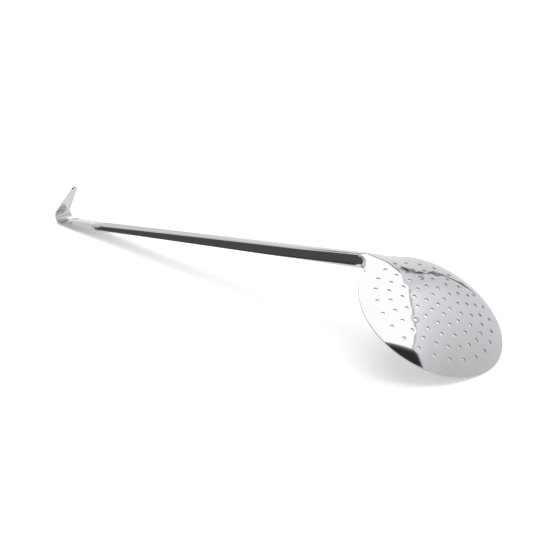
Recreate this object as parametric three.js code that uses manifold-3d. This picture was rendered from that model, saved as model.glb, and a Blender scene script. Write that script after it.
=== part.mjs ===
// Skimmer: a shallow perforated bowl on a long arched handle whose end is bent into a hook.
// Millimetres, +Z up. The tool lies on a table with the bowl's back up, resting on the bend of
// the hook and on the far rim of the bowl. The origin is on the table, under the middle of its box.

import * as THREE from 'three';
import { mergeVertices } from 'three/addons/utils/BufferGeometryUtils.js';
import Module from 'manifold-3d';

const wasm = await Module();
wasm.setup();

// Driving dimensions, in millimetres and degrees

// Sheet steel, and the clearance between neighbouring pieces
const sheet = 1.5;
const seam = 0.3;

// Bowl: rim diameter, height of the back above the rim, and how full its curve is
const bowlDiameter = 120;
const bowlRise = 11.9;
const bowlFullness = 2.4;

// Drain holes: one in the middle and rings around it, each turned by its own angle
const holeDiameter = 3;
const holeMargin = 12.2;
const ringCounts = [6, 12, 16, 24, 24];
const ringTurns = [39.2, 11.2, 3.6, 11.2, 11.1];

// Ridge that carries the arch of the handle into the bowl, with a shallow dip on either side
const ridgeRise = 2.4;
const ridgeLength = 35;
const ridgeFlat = 5;
const ridgeWidth = 30;
const ridgeSpread = 16;

// Neck: a straight edge set back from the rim circle, the weld along it, and the flared handle end
const neckSetback = 5;
const neckWidth = 40;
const neckLength = 13;
const neckSink = 4.8;
const neckFlare = 30;
const weldWidth = 1.6;

// How firmly the neck's curve holds to the slope of the bowl and of the strip, in the middle and at
// its edges: the bowl's slope runs far along the middle and folds down into the strip's flanks
const bowlPull = 1.8;
const bowlPullAtEdge = 0.6;
const stripPull = 0.35;
const stripPullAtEdge = 1.4;

// Handle: an arched strip that slopes away from the plane of the rim. Its arch hangs a little below
// the flat stretch before the hook, which keeps a slight crown as far as its run-in to the bend
const handleLength = 385.5;
const handleSlope = 38.8;
const handleWidth = 20;
const archAtNeck = 9.5;
const archAtHook = 3.6;
const archDrop = 1.4;
const flattenLength = 16;
const flatLength = 36;
const flatArch = 1;
const runIn = 12;

// Hook: the flat end of the strip, bent up and back, with a tapering leaf
const hookWidth = 17.5;
const hookRadius = 6;
const hookTurn = 136.4;
const leafLength = 34.8;
const tipWidth = 5.4;
const tipFlat = 1.9;

// Fineness of the facets
const bowlSegments = 72;
const bowlRings = 9;
const holeSides = 8;
const stripSides = 10;
const neckSteps = 9;
const archSteps = 7;
const flattenSteps = 5;
const flatSteps = 2;
const runInSteps = 3;
const bendSteps = 9;
const tipSteps = 3;

// Step over which slopes are measured, the least arch, and the rounds that settle the resting angle
const probe = 0.001;
const leastArch = 1e-6;
const restingRounds = 6;

const { clamp, degToRad, lerp, smoothstep } = THREE.MathUtils;
const rimRadius = bowlDiameter / 2;

// Slopes of a surface, which is a function of two parameters

function changeAlong(surface, a, b) {
  return surface(a + probe, b).sub(surface(a - probe, b)).divideScalar(2 * probe);
}

function changeAside(surface, a, b) {
  return surface(a, b + probe).sub(surface(a, b - probe)).divideScalar(2 * probe);
}

function normalAt(surface, a, b) {
  return changeAlong(surface, a, b).cross(changeAside(surface, a, b)).normalize();
}

// Bowl surface

// Back of the bowl over the rim plane: a dome, and the ridge on the handle's side.
function bowlSurface(x, y) {
  const radius = Math.hypot(x, y);
  const dome = bowlRise * (1 - (radius / rimRadius) ** bowlFullness);
  const ridgeStart = rimRadius - ridgeLength;
  const reach = smoothstep(radius, ridgeStart, rimRadius - ridgeFlat) * smoothstep(-x, 0, ridgeStart);
  const side = (1 - (2 * y / ridgeWidth) ** 2) * Math.exp(-((y / ridgeSpread) ** 2));
  return new THREE.Vector3(x, y, dome + ridgeRise * reach * side);
}

// Handle surface

const slope = degToRad(handleSlope);
const towardsHook = new THREE.Vector3(-Math.cos(slope), 0, -Math.sin(slope));
const upFromHandle = new THREE.Vector3(-Math.sin(slope), 0, Math.cos(slope));
const neckOrigin = new THREE.Vector3(-rimRadius, 0, -neckSink);
const bendRadius = hookRadius + sheet;
const bendTurn = degToRad(hookTurn);
const bendLength = bendRadius * bendTurn;
const flatStart = handleLength - flatLength;
const archEnd = flatStart - flattenLength;
const runInStart = handleLength - runIn;
const leafStart = handleLength + bendLength;
const tipStart = leafStart + leafLength - tipWidth / 2;
const neckEdge = -(rimRadius - neckSetback);
const weldStart = neckEdge - seam;
const weldEnd = weldStart - weldWidth;
const handleStart = weldEnd - seam;

// The line under the strip: straight along the handle, round the bend, straight along the leaf.
// Returns a point of it, the way onwards and the way up from it.
function stripLine(distance) {
  const turned = clamp((distance - handleLength) / bendRadius, 0, bendTurn);
  const onwards = towardsHook.clone().multiplyScalar(Math.cos(turned))
    .addScaledVector(upFromHandle, Math.sin(turned));
  const up = upFromHandle.clone().multiplyScalar(Math.cos(turned))
    .addScaledVector(towardsHook, -Math.sin(turned));
  const point = neckOrigin.clone()
    .addScaledVector(towardsHook, Math.min(distance, handleLength))
    .addScaledVector(upFromHandle, bendRadius)
    .addScaledVector(up, -bendRadius)
    .addScaledVector(onwards, Math.max(distance - leafStart, 0));
  return { point, onwards, up };
}

// An arch of a given half width and height, as an arc of a circle: its radius and its angle at the edges.
function archArc(halfWidth, height) {
  const edgeAngle = 2 * Math.atan(Math.max(height, leastArch) / halfWidth);
  return { edgeAngle, radius: halfWidth / Math.sin(edgeAngle) };
}

// Height of the full arch, which falls evenly towards the hook.
function fullArch(distance) {
  return lerp(archAtNeck, archAtHook, distance / handleLength);
}

// 1 along the arched stretch and 0 from the flat stretch on.
function archedShare(distance) {
  return 1 - smoothstep(distance, archEnd, flatStart);
}

// 1 on the flat stretch as far as its run-in, 0 on the arched stretch and from the bend on.
function crownedShare(distance) {
  return 1 - archedShare(distance) - smoothstep(distance, runInStart, handleLength);
}

// Pressed flat, the strip is as wide as its arch was long.
const lastArc = archArc(handleWidth / 2, fullArch(archEnd));
const flatWidth = 2 * lastArc.radius * lastArc.edgeAngle;

// Half the strip's width: even along the arch, wider where it is pressed flat, narrower round the
// bend, and tapering to a round tip.
function stripHalfWidth(distance) {
  const pressed = lerp(flatWidth, handleWidth, archedShare(distance));
  const strip = lerp(pressed, hookWidth, smoothstep(distance, runInStart, leafStart)) / 2;
  const taper = Math.max(distance - leafStart, 0) / leafLength;
  const rounding = Math.max(distance - tipStart, 0) / (tipWidth / 2);
  const round = Math.sqrt(Math.max(1 - rounding ** 2, 0));
  return lerp(strip, tipWidth / 2, taper) * Math.max(round, tipFlat / tipWidth);
}

// Point of the strip's upper face. Across runs from -1 at one edge to 1 at the other.
function stripSurface(distance, across) {
  const { point, up } = stripLine(distance);
  const arched = archedShare(distance);
  const crown = flatArch * crownedShare(distance);
  const { edgeAngle, radius } = archArc(stripHalfWidth(distance), fullArch(distance) * arched + crown);
  const lift = sheet * Math.cos(edgeAngle) + radius * (Math.cos(across * edgeAngle) - Math.cos(edgeAngle));
  const drop = archDrop * arched + crown;
  const sideways = radius * Math.sin(across * edgeAngle);
  return point.addScaledVector(up, lift - drop).add(new THREE.Vector3(0, sideways, 0));
}

// The neck leaves the weld along the bowl's own surface, fanned out towards the edges, and swings
// into the arch of the handle on a cubic curve. Share runs from 0 at the weld to 1 at the handle.
function neckSurface(share, across) {
  const heading = across * degToRad(neckFlare);
  const start = bowlSurface(handleStart, across * neckWidth / 2);
  const end = stripSurface(neckLength, across);
  const reach = start.distanceTo(end);
  const way = new THREE.Vector2(-Math.cos(heading), -Math.sin(heading));
  const leaving = changeAlong((ahead) => bowlSurface(start.x + ahead * way.x, start.y + ahead * way.y), 0);
  const arriving = changeAlong(stripSurface, neckLength, across);
  const leave = reach * lerp(bowlPull, bowlPullAtEdge, across ** 2);
  const arrive = reach * lerp(stripPull, stripPullAtEdge, across ** 2);
  const rest = 1 - share;
  return start.multiplyScalar((1 + 2 * share) * rest * rest)
    .addScaledVector(leaving, leave * share * rest * rest)
    .addScaledVector(end, share * share * (3 - 2 * share))
    .addScaledVector(arriving, -arrive * share * share * rest);
}

// Pressing: a flat blank, with its upper face at z = 0 and its lower face at z = -sheet, takes the
// shape of a surface. The blank's x and y are the surface's two parameters.
function press(blank, surface) {
  const position = blank.attributes.position;
  for (let i = 0; i < position.count; i += 1) {
    const [a, b] = [position.getX(i), position.getY(i)];
    const point = surface(a, b).addScaledVector(normalAt(surface, a, b), position.getZ(i));
    position.setXYZ(i, point.x, point.y, point.z);
  }
  return blank;
}

// Closed mesh with shared vertices and no triangle of zero area.
function sewn(geometry) {
  geometry.deleteAttribute('normal');
  geometry.deleteAttribute('uv');
  const merged = mergeVertices(geometry);
  const index = Array.from(merged.index.array);
  const kept = [];
  for (let i = 0; i < index.length; i += 3) {
    const [a, b, c] = index.slice(i, i + 3);
    if (a !== b && b !== c && c !== a) kept.push(a, b, c);
  }
  merged.setIndex(kept);
  return merged;
}

// Flat rectangular blank with a number of steps along x and sides across y.
function stripBlank(steps, sides) {
  const blank = new THREE.BoxGeometry(steps, 2, sheet, steps, sides, 1);
  return sewn(blank.translate(steps / 2, 0, -sheet / 2));
}

// Flat round blank of the bowl, with the straight edge of the neck on one side.
function bowlBlank() {
  const upper = [];
  for (let i = 0; i <= bowlRings; i += 1) {
    upper.push(new THREE.Vector2(rimRadius * i / bowlRings, 0));
  }
  const lower = upper.map((point) => new THREE.Vector2(point.x, -sheet));
  const disc = new THREE.LatheGeometry([...lower, ...upper.reverse()], bowlSegments);
  const blank = sewn(disc.rotateX(Math.PI / 2).rotateZ(Math.PI / bowlSegments));
  const position = blank.attributes.position;
  for (let i = 0; i < position.count; i += 1) {
    const [x, y] = [position.getX(i), position.getY(i)];
    const rimX = rimRadius * x / (Math.hypot(x, y) || 1);
    const share = Math.min(1, neckEdge / Math.min(rimX, neckEdge));
    position.setXY(i, x * share, y * share);
  }
  return blank;
}

function toSolid(geometry) {
  const mesh = new wasm.Mesh({
    numProp: 3,
    vertProperties: new Float32Array(geometry.attributes.position.array),
    triVerts: new Uint32Array(geometry.index.array),
  });
  return new wasm.Manifold(mesh);
}

function toGeometry(solid) {
  const mesh = solid.getMesh();
  const geometry = new THREE.BufferGeometry();
  geometry.setAttribute('position', new THREE.BufferAttribute(mesh.vertProperties, 3));
  geometry.setIndex(new THREE.BufferAttribute(mesh.triVerts, 1));
  return geometry;
}

// Centres of the drain holes in the plane of the rim.
function holeCentres() {
  const pitch = (rimRadius - holeMargin) / ringCounts.length;
  const centres = [[0, 0]];
  ringCounts.forEach((count, ring) => {
    for (let i = 0; i < count; i += 1) {
      const angle = degToRad(ringTurns[ring] + 360 * i / count);
      const radius = pitch * (ring + 1);
      centres.push([radius * Math.cos(angle), radius * Math.sin(angle)]);
    }
  });
  return centres;
}

// Punch that cuts one drain hole square to the bowl's surface. It reaches past both of its faces.
function punch(x, y) {
  const normal = normalAt(bowlSurface, x, y);
  const turn = new THREE.Quaternion().setFromUnitVectors(new THREE.Vector3(0, 1, 0), normal);
  const middle = bowlSurface(x, y).addScaledVector(normal, -sheet / 2);
  const punchLength = 3 * sheet;
  const rod = new THREE.CylinderGeometry(holeDiameter / 2, holeDiameter / 2, punchLength, holeSides);
  return toSolid(sewn(rod).applyQuaternion(turn).translate(middle.x, middle.y, middle.z));
}

function bowlGeometry() {
  let solid = toSolid(press(bowlBlank(), bowlSurface));
  for (const [x, y] of holeCentres()) solid = solid.subtract(punch(x, y));
  return toGeometry(solid);
}

// Stations along the handle: negative in the neck, then the distance along the strip.
function handleStations() {
  const stations = [];
  const add = (from, to, steps) => {
    for (let i = 0; i < steps; i += 1) stations.push(lerp(from, to, i / steps));
  };
  add(-1, 0, neckSteps);
  add(neckLength, archEnd, archSteps);
  add(archEnd, flatStart, flattenSteps);
  add(flatStart, runInStart, flatSteps);
  add(runInStart, handleLength, runInSteps);
  add(handleLength, leafStart, bendSteps);
  stations.push(leafStart);
  for (let i = 0; i <= tipSteps; i += 1) {
    stations.push(tipStart + tipWidth / 2 * Math.sin(i / tipSteps * Math.PI / 2));
  }
  return stations;
}

function handleGeometry() {
  const stations = handleStations();
  const last = stations.length - 1;
  const surface = (place, side) => {
    const before = clamp(Math.floor(place), 0, last - 1);
    const station = lerp(stations[before], stations[before + 1], place - before);
    return place < neckSteps ? neckSurface(place / neckSteps, -side) : stripSurface(station, -side);
  };
  return press(stripBlank(last, stripSides), surface);
}

// The weld runs along the neck's straight edge, between bowl and handle.
function weldGeometry() {
  const surface = (place, side) => bowlSurface(lerp(weldStart, weldEnd, place), -side * neckWidth / 2);
  return press(stripBlank(1, stripSides), surface);
}

// Assembly

const polishedSteel = { roughness: 0.06, metalness: 1 };

function piece(name, geometry, colour) {
  geometry.computeVertexNormals();
  const material = new THREE.MeshStandardMaterial({ color: colour, ...polishedSteel });
  const mesh = new THREE.Mesh(geometry, material);
  mesh.name = name;
  return mesh;
}

// Angle about Y at which the hook and the rim both touch a level table.
function restingAngle(bowl, handle) {
  const lowest = (mesh, angle) => {
    const point = new THREE.Vector3();
    const best = { height: Infinity, x: 0, z: 0 };
    const position = mesh.geometry.attributes.position;
    for (let i = 0; i < position.count; i += 1) {
      point.fromBufferAttribute(position, i);
      const height = point.z * Math.cos(angle) - point.x * Math.sin(angle);
      if (height < best.height) Object.assign(best, { height, x: point.x, z: point.z });
    }
    return best;
  };
  let angle = slope;
  for (let round = 0; round < restingRounds; round += 1) {
    const far = lowest(bowl, angle);
    const near = lowest(handle, angle);
    angle = Math.atan2(far.z - near.z, far.x - near.x);
  }
  return angle;
}

const bowl = piece('bowl', bowlGeometry(), 0xd9d9db);
const handle = piece('handle', handleGeometry(), 0xd6d6d8);
const weld = piece('neck_weld', weldGeometry(), 0xd2d2d4);

const tool = new THREE.Group();
tool.add(bowl, handle, weld);
tool.rotation.y = restingAngle(bowl, handle);

const skimmer = new THREE.Group();
skimmer.add(tool);
const box = new THREE.Box3().setFromObject(skimmer, true);
tool.position.set(-(box.min.x + box.max.x) / 2, -(box.min.y + box.max.y) / 2, -box.min.z);

export default skimmer;
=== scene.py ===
"""A mirror-polished steel skimmer that lies on a white table with the back of its bowl up.

The pieces are surfaces of two parameters, worked out in the tool's own frame: its origin is the
middle of the rim circle, +X points to the far rim and +Z is the axis of the dome. A flat blank of
sheet steel is pressed onto each surface. The finished tool is tilted about Y until the bend of its
hook and its far rim both touch the table.
"""

import math

import bpy
import numpy as np
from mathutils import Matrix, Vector


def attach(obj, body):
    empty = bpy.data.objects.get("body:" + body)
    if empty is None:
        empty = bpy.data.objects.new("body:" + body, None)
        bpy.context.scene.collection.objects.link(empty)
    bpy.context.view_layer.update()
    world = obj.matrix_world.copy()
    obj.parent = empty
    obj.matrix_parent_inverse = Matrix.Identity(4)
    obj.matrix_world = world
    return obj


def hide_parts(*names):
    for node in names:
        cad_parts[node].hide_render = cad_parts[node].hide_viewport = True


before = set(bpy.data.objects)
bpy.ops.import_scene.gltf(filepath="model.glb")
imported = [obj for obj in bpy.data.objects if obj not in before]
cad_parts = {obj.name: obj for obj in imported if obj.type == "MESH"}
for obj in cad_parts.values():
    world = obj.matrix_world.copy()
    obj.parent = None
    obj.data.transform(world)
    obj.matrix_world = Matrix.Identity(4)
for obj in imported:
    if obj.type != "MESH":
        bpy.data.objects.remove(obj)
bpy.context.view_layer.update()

bl_info = {
    "name": "Polished skimmer",
    "version": (1, 0, 0),
    "blender": (4, 5, 0),
    "location": "View3D > Sidebar > Skimmer",
    "description": "Builds a polished steel skimmer and the white studio that it lies in",
    "category": "Add Mesh",
}

# Drain holes: one in the middle, then rings of so many holes, each ring turned by so many degrees
RING_COUNTS = (6, 12, 16, 24, 24)
RING_TURNS = (39.2, 11.2, 3.6, 11.2, 11.1)

# Fineness of the meshes: steps round the bowl, across the neck, along each stretch and on edges
BOWL_COLUMNS = 144
NECK_COLUMNS = 32
CELL_SIDE_STEPS = 6
RIM_ROWS = 5
EDGE_STEPS = 4
WELD_ROWS = 3
NECK_ROWS = 28
ARCH_ROWS = 72
FLATTEN_ROWS = 48
FLAT_ROWS = 24
BEND_ROWS = 32
LEAF_ROWS = 18
TIP_ROWS = 10

# Distances from a hole's rolled edge at which the collar around it has a ring of points, in metres
COLLAR = np.array([0.0022, 0.0016, 0.0011, 0.0007, 0.0003, 0.0])

# Radius of the rim's edge where the weld meets it, in metres, which leaves that edge sharp
WELDED_EDGE = 1e-6

# Sine of the roll at which a hole's cut wall, dull and painted darker as shade, begins, and at which it
# is full
CUT_BEGINS = 0.3
CUT_FULL = 0.9

# Step over which slopes are measured, least length of a vector, grid on which points are the same
PROBE = 1e-6
LEAST_LENGTH = 1e-12
SAME_POINT = 1e-8

# Places at which the slope of a strip's section is summed up
SECTION_SUMS = 16

# Settling on the table: half the turn of the rim that is tried, points tried on rim and bend, rounds
RIM_TURN = 0.5
RIM_POINTS = 201
BEND_POINTS = 401
SETTLING_ROUNDS = 8

# The bowl's map of its plan, the middle of that map, and the mark of its cut walls
PLAN_MAP = "Plan"
PLAN_MIDDLE = 0.5
CUT_MARK = "Cut"


# Settings

def length(name, description, default):
    return bpy.props.FloatProperty(
        name=name, description=description, default=default, unit="LENGTH", precision=4)


def angle(name, description, degrees):
    return bpy.props.FloatProperty(
        name=name, description=description, default=math.radians(degrees), subtype="ANGLE")


def number(name, description, default):
    return bpy.props.FloatProperty(name=name, description=description, default=default, precision=3)


def colour(name, description, default):
    return bpy.props.FloatVectorProperty(
        name=name, description=description, default=default, min=0, max=1, size=3, subtype="COLOR")


class BowlSettings(bpy.types.PropertyGroup):
    sheet: length("Sheet", "Thickness of the sheet steel", 0.0015)
    rim_diameter: length("Rim diameter", "Diameter of the rim circle", 0.120)
    rise: length("Rise", "Height of the back above the rim", 0.0119)
    fullness: number("Fullness", "Power of the dome's curve", 2.4)
    hole_diameter: length("Hole diameter", "Diameter of a drain hole", 0.003)
    hole_margin: length("Hole margin", "From the rim to the outer ring of holes", 0.0122)
    hole_edge: length("Hole edge", "Radius of a hole's rolled edges", 0.0001)
    dimple: length("Dimple", "Depth that the punch drew the sheet down around a hole", 0.000045)
    dimple_width: length("Dimple width", "Reach of that dimple from the hole's edge", 0.0014)
    rim_edge: length("Rim edge", "Radius of the rolled edges of the rim", 0.0003)
    ridge_rise: length("Ridge rise", "Height of the ridge that meets the handle", 0.0024)
    ridge_length: length("Ridge length", "From the rim to where the ridge begins", 0.035)
    ridge_flat: length("Ridge flat", "From the rim to where the ridge is at its full height", 0.005)
    ridge_width: length("Ridge width", "Width over which the ridge stands above the dome", 0.030)
    ridge_spread: length("Ridge spread", "Distance over which the ridge and its dips fade", 0.016)


class HandleSettings(bpy.types.PropertyGroup):
    neck_setback: length("Neck setback", "From the rim circle in to the straight weld", 0.005)
    weld_width: length("Weld width", "Width of the weld with the clearances beside it", 0.0022)
    neck_width: length("Neck width", "Width of the flared end at the weld", 0.040)
    neck_length: length("Neck length", "From the rim circle to the even strip", 0.013)
    neck_sink: length("Neck sink", "How far the strip's line passes under the rim circle", 0.0048)
    neck_flare: angle("Neck flare", "Turn of the neck's edges away from the tool's length", 30)
    bowl_pull: number("Bowl pull", "Hold of the bowl's slope on the neck's middle", 1.8)
    bowl_pull_at_edge: number("Bowl pull at edge", "Hold of the bowl's slope on the neck's edges", 0.6)
    strip_pull: number("Strip pull", "Hold of the strip's slope on the neck's middle", 0.35)
    strip_pull_at_edge: number(
        "Strip pull at edge", "Hold of the strip's slope on the neck's edges", 1.4)
    length: length("Length", "From the rim circle to the bend", 0.3855)
    slope: angle("Slope", "Angle between the handle and the plane of the rim", 38.8)
    width: length("Width", "Width of the strip", 0.020)
    arch_at_neck: length("Arch at the neck", "Height of the arch where the strip begins", 0.0095)
    arch_at_hook: length("Arch at the hook", "Height that the arch would have at the bend", 0.0036)
    arch_drop: length("Arch drop", "How far the arch's edges lie below the flat stretch", 0.0014)
    flat_length: length("Flat length", "Flat stretch before the bend", 0.032)
    flatten_length: length("Flatten length", "Stretch over which the arch fades into the flat", 0.005)
    edge_lead: length("Edge lead", "How much sooner the arch's edges are flat than its middle", 0.023)
    flat_arch: length("Flat arch", "Slight crown that stays in the flat stretch", 0.001)
    run_in: length(
        "Run-in", "End of the flat stretch, where the crown fades and the strip narrows", 0.012)
    hook_width: length("Hook width", "Width of the strip where the leaf begins", 0.0175)
    hook_radius: length("Hook radius", "Inner radius of the bend", 0.006)
    hook_turn: angle("Hook turn", "Angle that the strip is bent through", 136.4)
    leaf_length: length("Leaf length", "Length of the tapering leaf", 0.0348)
    tip_width: length("Tip width", "Width of the leaf at its round tip", 0.0054)
    tip_flat: length("Tip flat", "Flat at the very end of the tip", 0.0003)
    edge: length("Edge", "Radius of the rolled edges of the strip", 0.0002)


class SteelSettings(bpy.types.PropertyGroup):
    bowl_colour: colour("Bowl", "Colour of the bowl's steel", (0.700, 0.692, 0.702))
    handle_colour: colour("Handle", "Colour of the handle's steel", (0.700, 0.692, 0.702))
    weld_colour: colour("Weld", "Colour of the ground weld", (0.695, 0.687, 0.697))
    # The cut walls' colour is painted shade: darker than the steel inside the drain holes
    hole_shade_colour: colour("Cut walls", "Colour of the dull walls of the drain holes", (0.50, 0.49, 0.48))
    wave_size: length("Wave size", "Size of the waves that polishing leaves", 0.014)
    wave_height: length("Wave height", "Height of those waves", 0.000012)
    line_height: length("Line height", "Depth of the fine polishing lines", 0.0000002)
    roughness: number("Roughness", "Roughness of the clean polish", 0.035)
    line_roughness: number("Line roughness", "Roughness that the polishing lines add", 0.03)
    haze_roughness: number("Haze roughness", "Roughness that the film from handling adds", 0.03)
    cut_roughness: number("Cut roughness", "Roughness that the cut walls of the holes add", 0.25)


class StageSettings(bpy.types.PropertyGroup):
    camera_azimuth: angle("Camera azimuth", "Turn of the view to the right of -Y", 42.67)
    camera_elevation: angle("Camera elevation", "Height of the view above the table", 22.16)
    camera_distance: length("Camera distance", "From the camera to the point it looks at", 1.080)
    camera_lens: number("Camera lens", "Focal length in millimetres on a 36 mm sensor", 80.23)
    target_x: length("Target X", "Point on the table that the camera looks at", 0.01475)
    target_y: length("Target Y", "Point on the table that the camera looks at", 0.0297)
    floor_size: length("Floor size", "Side of the square table", 12.0)
    floor_colour: colour("Floor", "Colour of the table", (0.86, 0.86, 0.865))
    floor_gain: number("Floor gain", "Exposure of the table where the camera sees it", 1.55)
    floor_lift: number("Floor lift", "White added to the table where the camera sees it", 0.32)
    floor_glow: number("Floor glow", "White added to the table where the steel mirrors it", 0.30)
    softbox: number("Softbox", "Brightness of the overhead softbox", 1.42)
    frame: number("Frame", "Brightness of the softbox's frame", 0.12)
    rail: number("Rail", "Brightness of the rail along the softbox's right edge", 0.58)
    backdrop: number("Backdrop", "Brightness of the backdrop", 1.02)
    panel: number("Panel", "Brightness of the grey panel, before it falls off to the right", 0.90)
    panel_glow: number("Panel glow", "Brightness that the softbox adds to the panel's upper edge", 0.43)
    horizon: colour("Horizon", "Colour of the room behind the table's far edge", (0.73, 0.715, 0.68))
    gap: number("Gap", "Brightness of the gap between backdrop and panel", 0.1)
    flag: number("Flag", "Brightness of the dark flags", 0.085)
    top_flag: number("Top flag", "Brightness of the dark flag overhead", 0.034)
    room: number("Room", "Brightness of the rest of the room", 0.65)


class SkimmerSettings(bpy.types.PropertyGroup):
    bowl: bpy.props.PointerProperty(name="Bowl", description="Sizes of the bowl", type=BowlSettings)
    handle: bpy.props.PointerProperty(
        name="Handle", description="Sizes of handle, neck and hook", type=HandleSettings)
    steel: bpy.props.PointerProperty(name="Steel", description="Finish of the steel", type=SteelSettings)
    stage: bpy.props.PointerProperty(name="Stage", description="Camera and studio", type=StageSettings)


# Surfaces

def smooth_step(value, start, end):
    """0 before start, 1 after end, and 3 t^2 - 2 t^3 between them."""
    t = np.clip((value - start) / (end - start), 0, 1)
    return t * t * (3 - 2 * t)


def unit(vectors):
    """Vectors divided by their lengths. A zero vector stays zero."""
    size = np.linalg.norm(vectors, axis=-1, keepdims=True)
    return vectors / np.maximum(size, LEAST_LENGTH)


def mix(low, high, t):
    """Straight blend: low + (high - low) t."""
    return low + (high - low) * t


def slope_along(surface, sizes, a, b, step_a, step_b):
    """Slope of a surface along a step of its parameters, as a central difference over a tiny share of
    that step."""
    step_a = PROBE * step_a
    step_b = PROBE * step_b
    further = surface(sizes, a + step_a, b + step_b)
    nearer = surface(sizes, a - step_a, b - step_b)
    return (further - nearer) / (2 * PROBE)


def surface_frame(surface, sizes, a, b):
    """Points of a surface, its unit normals and its slopes along both parameters.

    The normal is the cross product of the two slopes.
    """
    along_a = slope_along(surface, sizes, a, b, 1, 0)
    along_b = slope_along(surface, sizes, a, b, 0, 1)
    return surface(sizes, a, b), unit(np.cross(along_a, along_b)), along_a, along_b


def bowl_surface(sizes, x, y):
    """Back of the bowl above a point of the rim plane.

    Height = rise (1 - (radius / rim radius)^fullness) + ridge. The ridge is its rise, times a smooth
    step of the radius and one of -x, times (1 - (2 y / width)^2) exp(-(y / spread)^2).
    """
    bowl = sizes.bowl
    rim = bowl.rim_diameter / 2
    radius = np.hypot(x, y)
    dome = bowl.rise * (1 - (radius / rim) ** bowl.fullness)
    start = rim - bowl.ridge_length
    reach = smooth_step(radius, start, rim - bowl.ridge_flat) * smooth_step(-x, 0, start)
    side = (1 - (2 * y / bowl.ridge_width) ** 2) * np.exp(-(y / bowl.ridge_spread) ** 2)
    return np.stack([x, y, dome + bowl.ridge_rise * reach * side], axis=-1)


def neck_edge(sizes):
    """X of the straight edge of the bowl at the neck."""
    return sizes.handle.neck_setback - sizes.bowl.rim_diameter / 2


def handle_start(sizes):
    """X at which the handle begins: the straight edge of the bowl less the weld's width."""
    return neck_edge(sizes) - sizes.handle.weld_width


def leaf_start(sizes):
    """Distance along the strip at which the bend ends: handle length + outer radius x turn."""
    handle = sizes.handle
    return handle.length + (handle.hook_radius + sizes.bowl.sheet) * handle.hook_turn


def flat_start(sizes):
    """Distance along the strip at which its flat stretch begins: handle length less flat length."""
    return sizes.handle.length - sizes.handle.flat_length


def press_start(sizes):
    """Distance along the strip from which the edges of its arch are pressed flat."""
    return flat_start(sizes) - sizes.handle.flatten_length - sizes.handle.edge_lead


def arched_share(sizes, across, distance):
    """1 on the arch and 0 where it is pressed flat, with a smooth step between the two.

    The step comes sooner at the edges: it moves back by the edge lead times the square of across.
    """
    handle = sizes.handle
    end = flat_start(sizes) - handle.edge_lead * across ** 2
    return 1 - smooth_step(distance, end - handle.flatten_length, end)


def arch_angle(sizes, distance):
    """Slope of the arch at its edges: twice the arc tangent of its height over half its width.

    The height falls evenly towards the hook, as far as the arch goes.
    """
    handle = sizes.handle
    along = np.minimum(distance, press_start(sizes)) / handle.length
    height = mix(handle.arch_at_neck, handle.arch_at_hook, along)
    return 2 * np.arctan(height / (handle.width / 2))


def crown_height(sizes, distance):
    """Height of the crown that stays in the flat stretch and fades before the bend."""
    handle = sizes.handle
    return handle.flat_arch * (1 - smooth_step(distance, handle.length - handle.run_in, handle.length))


def strip_half_width(sizes, distance):
    """Half the strip's width along its section: its arch's arc, narrower in the bend, tapering to a tip.

    The round tip multiplies the taper by sqrt(1 - t^2), with t running from 0 to 1 over the tip.
    """
    handle = sizes.handle
    edge_angle = arch_angle(sizes, distance)
    arc = handle.width / 2 * edge_angle / np.sin(edge_angle)
    narrowing = smooth_step(distance, handle.length - handle.run_in, leaf_start(sizes))
    strip = mix(arc, handle.hook_width / 2, narrowing)
    past = np.maximum(distance - leaf_start(sizes), 0)
    half_tip = handle.tip_width / 2
    t = np.maximum(past - handle.leaf_length + half_tip, 0) / half_tip
    tip = np.maximum(np.sqrt(np.maximum(1 - t ** 2, 0)), handle.tip_flat / handle.tip_width)
    return mix(strip, half_tip, past / handle.leaf_length) * tip


def strip_slope(sizes, across, distance):
    """Slope of the section: across times the arch's edge angle, or the crown's where it is flat."""
    crown_angle = 2 * np.arctan(crown_height(sizes, distance) / strip_half_width(sizes, distance))
    arched = arched_share(sizes, across, distance)
    return across * mix(crown_angle, arch_angle(sizes, distance), arched)


def strip_section_point(sizes, across, distance):
    """Sideways place and height above the edge of a point of the section.

    The sideways place is the sum of the slope's cosine from the middle to the point, and the height
    is the sum of its sine from the point to the edge, both times the half width.
    """
    half_width = strip_half_width(sizes, distance)
    places, shares = np.polynomial.legendre.leggauss(SECTION_SUMS)
    places = (places + 1) / 2
    shares = shares / 2
    side = np.abs(across)[..., None]
    along = distance[..., None]
    inner = strip_slope(sizes, side * places, along)
    outer = strip_slope(sizes, side + (1 - side) * places, along)
    sideways = half_width * across * (np.cos(inner) @ shares)
    height = half_width * (1 - np.abs(across)) * (np.sin(outer) @ shares)
    return sideways, height


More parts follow.
